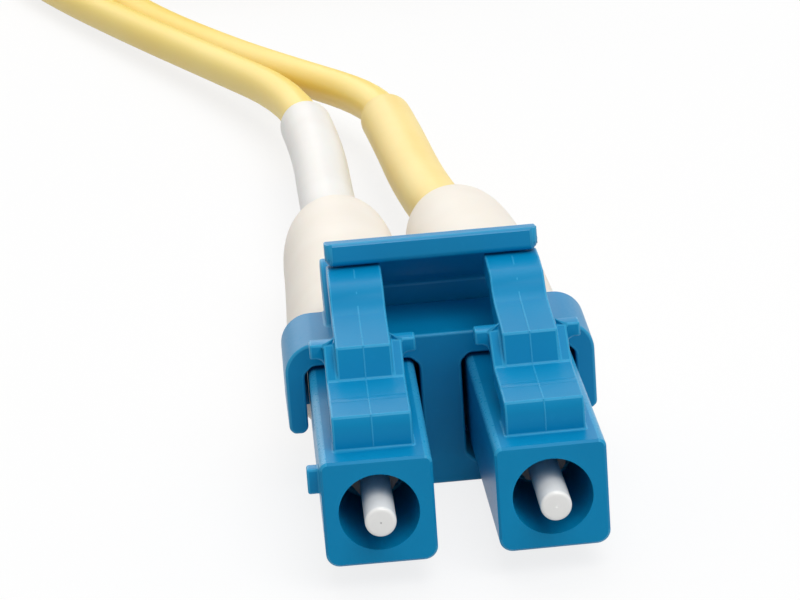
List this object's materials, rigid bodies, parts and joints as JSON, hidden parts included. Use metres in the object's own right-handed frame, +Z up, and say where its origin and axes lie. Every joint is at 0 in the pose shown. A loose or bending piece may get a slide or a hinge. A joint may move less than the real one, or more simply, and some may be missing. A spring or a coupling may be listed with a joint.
{
  "type": "fiber optic patch cord",
  "caption": "duplex fibre patch cord: square latching plugs held in pairs by clips with a press trigger, long pale boots, a coloured cord folded in a tied hank",
  "frame": {"origin": "middle of the near duplex clip's flat underside, on the surface it lies on", "axes": "X across the plug pair to its right as seen from the plug fronts, Y along the plugs to the rear, away from their fronts, Z up"},
  "size_m": [0.0342, 0.1655, 0.0203],
  "materials": {
    "blue_plastic": "moulded, light gloss",
    "blue_clip_plastic": "moulded, light gloss",
    "white_ceramic": "polished zirconia",
    "nickel_metal": "nickel plated",
    "spring_steel": "drawn wire",
    "white_plastic": "moulded",
    "buffer_plastic": "extruded",
    "ivory_rubber": "soft satin",
    "white_sleeve": "soft satin",
    "yellow_sleeve": "soft satin",
    "yellow_jacket": "extruded, satin",
    "tie_plastic": "soft strap"
  },
  "bodies": {
    "patch_cord": {"near_left_plug_housing": "blue_plastic", "near_left_rear_body": "white_plastic", "near_left_crimp_sleeve": "nickel_metal", "near_left_buffer_tube": "buffer_plastic", "near_left_boot": "ivory_rubber", "near_left_marker_sleeve": "white_sleeve", "near_left_jacket": "yellow_jacket", "near_left_spring": "spring_steel", "near_right_plug_housing": "blue_plastic", "near_right_rear_body": "white_plastic", "near_right_crimp_sleeve": "nickel_metal", "near_right_buffer_tube": "buffer_plastic", "near_right_boot": "ivory_rubber", "near_right_marker_sleeve": "yellow_sleeve", "near_right_jacket": "yellow_jacket", "near_right_spring": "spring_steel", "near_duplex_clip": "blue_clip_plastic", "far_left_plug_housing": "blue_plastic", "far_left_rear_body": "white_plastic", "far_left_crimp_sleeve": "nickel_metal", "far_left_buffer_tube": "buffer_plastic", "far_left_boot": "ivory_rubber", "far_left_marker_sleeve": "yellow_sleeve", "far_left_jacket": "yellow_jacket", "far_left_spring": "spring_steel", "far_right_plug_housing": "blue_plastic", "far_right_rear_body": "white_plastic", "far_right_crimp_sleeve": "nickel_metal", "far_right_buffer_tube": "buffer_plastic", "far_right_boot": "ivory_rubber", "far_right_marker_sleeve": "white_sleeve", "far_right_jacket": "yellow_jacket", "far_right_spring": "spring_steel", "far_duplex_clip": "blue_clip_plastic", "cord_hank": "yellow_jacket", "hank_tie": "tie_plastic"},
    "near_left_latch": {"near_left_latch": "blue_plastic"},
    "near_left_ferrule": {"near_left_ferrule": "white_ceramic", "near_left_ferrule_holder": "nickel_metal"},
    "near_right_latch": {"near_right_latch": "blue_plastic"},
    "near_right_ferrule": {"near_right_ferrule": "white_ceramic", "near_right_ferrule_holder": "nickel_metal"},
    "near_trigger": {"near_trigger": "blue_clip_plastic"},
    "far_left_latch": {"far_left_latch": "blue_plastic"},
    "far_left_ferrule": {"far_left_ferrule": "white_ceramic", "far_left_ferrule_holder": "nickel_metal"},
    "far_right_latch": {"far_right_latch": "blue_plastic"},
    "far_right_ferrule": {"far_right_ferrule": "white_ceramic", "far_right_ferrule_holder": "nickel_metal"},
    "far_trigger": {"far_trigger": "blue_clip_plastic"}
  },
  "joints": [
    {"name": "near_left_latch_flex", "type": "hinge", "parent": "patch_cord", "child": "near_left_latch", "pos_m": [-0.00339, -0.00928, 0.00613], "axis": [-0.9999, 0.0122, 0], "range_deg": [0, 7.29], "stiffness_Nm_per_rad": 0.0002, "springref_deg": -1.15},
    {"name": "near_left_ferrule_slide", "type": "slide", "parent": "patch_cord", "child": "near_left_ferrule", "axis": [0.0122, 0.9999, 0], "range_m": [0, 0.0009], "stiffness_N_per_m": 5, "springref_m": -0.0005, "deforming": ["near_left_spring"]},
    {"name": "near_right_latch_flex", "type": "hinge", "parent": "patch_cord", "child": "near_right_latch", "pos_m": [0.00339, -0.00928, 0.00613], "axis": [-0.9999, -0.0122, 0], "range_deg": [0, 7.29], "stiffness_Nm_per_rad": 0.0002, "springref_deg": -1.15},
    {"name": "near_right_ferrule_slide", "type": "slide", "parent": "patch_cord", "child": "near_right_ferrule", "axis": [-0.0122, 0.9999, 0], "range_m": [0, 0.0009], "stiffness_N_per_m": 5, "springref_m": -0.0005, "deforming": ["near_right_spring"]},
    {"name": "near_trigger_press", "type": "hinge", "parent": "patch_cord", "child": "near_trigger", "pos_m": [0, 0.0028, 0.00779], "axis": [1, 0, 0], "range_deg": [0, 13], "stiffness_Nm_per_rad": 0.0002, "springref_deg": -1.15},
    {"name": "far_left_latch_flex", "type": "hinge", "parent": "patch_cord", "child": "far_left_latch", "pos_m": [0.00321, 0.08672, 0.01554], "axis": [-0.9999, 0.0122, 0], "range_deg": [0, 7.29], "stiffness_Nm_per_rad": 0.0002, "springref_deg": -1.15},
    {"name": "far_left_ferrule_slide", "type": "slide", "parent": "patch_cord", "child": "far_left_ferrule", "axis": [0.0122, 0.9999, 0], "range_m": [0, 0.0009], "stiffness_N_per_m": 5, "springref_m": -0.0005, "deforming": ["far_left_spring"]},
    {"name": "far_right_latch_flex", "type": "hinge", "parent": "patch_cord", "child": "far_right_latch", "pos_m": [0.00999, 0.08672, 0.01554], "axis": [-0.9999, -0.0122, 0], "range_deg": [0, 7.29], "stiffness_Nm_per_rad": 0.0002, "springref_deg": -1.15},
    {"name": "far_right_ferrule_slide", "type": "slide", "parent": "patch_cord", "child": "far_right_ferrule", "axis": [-0.0122, 0.9999, 0], "range_m": [0, 0.0009], "stiffness_N_per_m": 5, "springref_m": -0.0005, "deforming": ["far_right_spring"]},
    {"name": "far_trigger_press", "type": "hinge", "parent": "patch_cord", "child": "far_trigger", "pos_m": [0.0066, 0.0988, 0.0172], "axis": [1, 0, 0], "range_deg": [0, 13], "stiffness_Nm_per_rad": 0.0002, "springref_deg": -1.15}
  ],
  "couplings": [
    {"joint": "near_left_latch_flex", "follows": "near_trigger_press", "ratio": 0.56},
    {"joint": "near_right_latch_flex", "follows": "near_trigger_press", "ratio": 0.56},
    {"joint": "far_left_latch_flex", "follows": "far_trigger_press", "ratio": 0.56},
    {"joint": "far_right_latch_flex", "follows": "far_trigger_press", "ratio": 0.56}
  ]
}
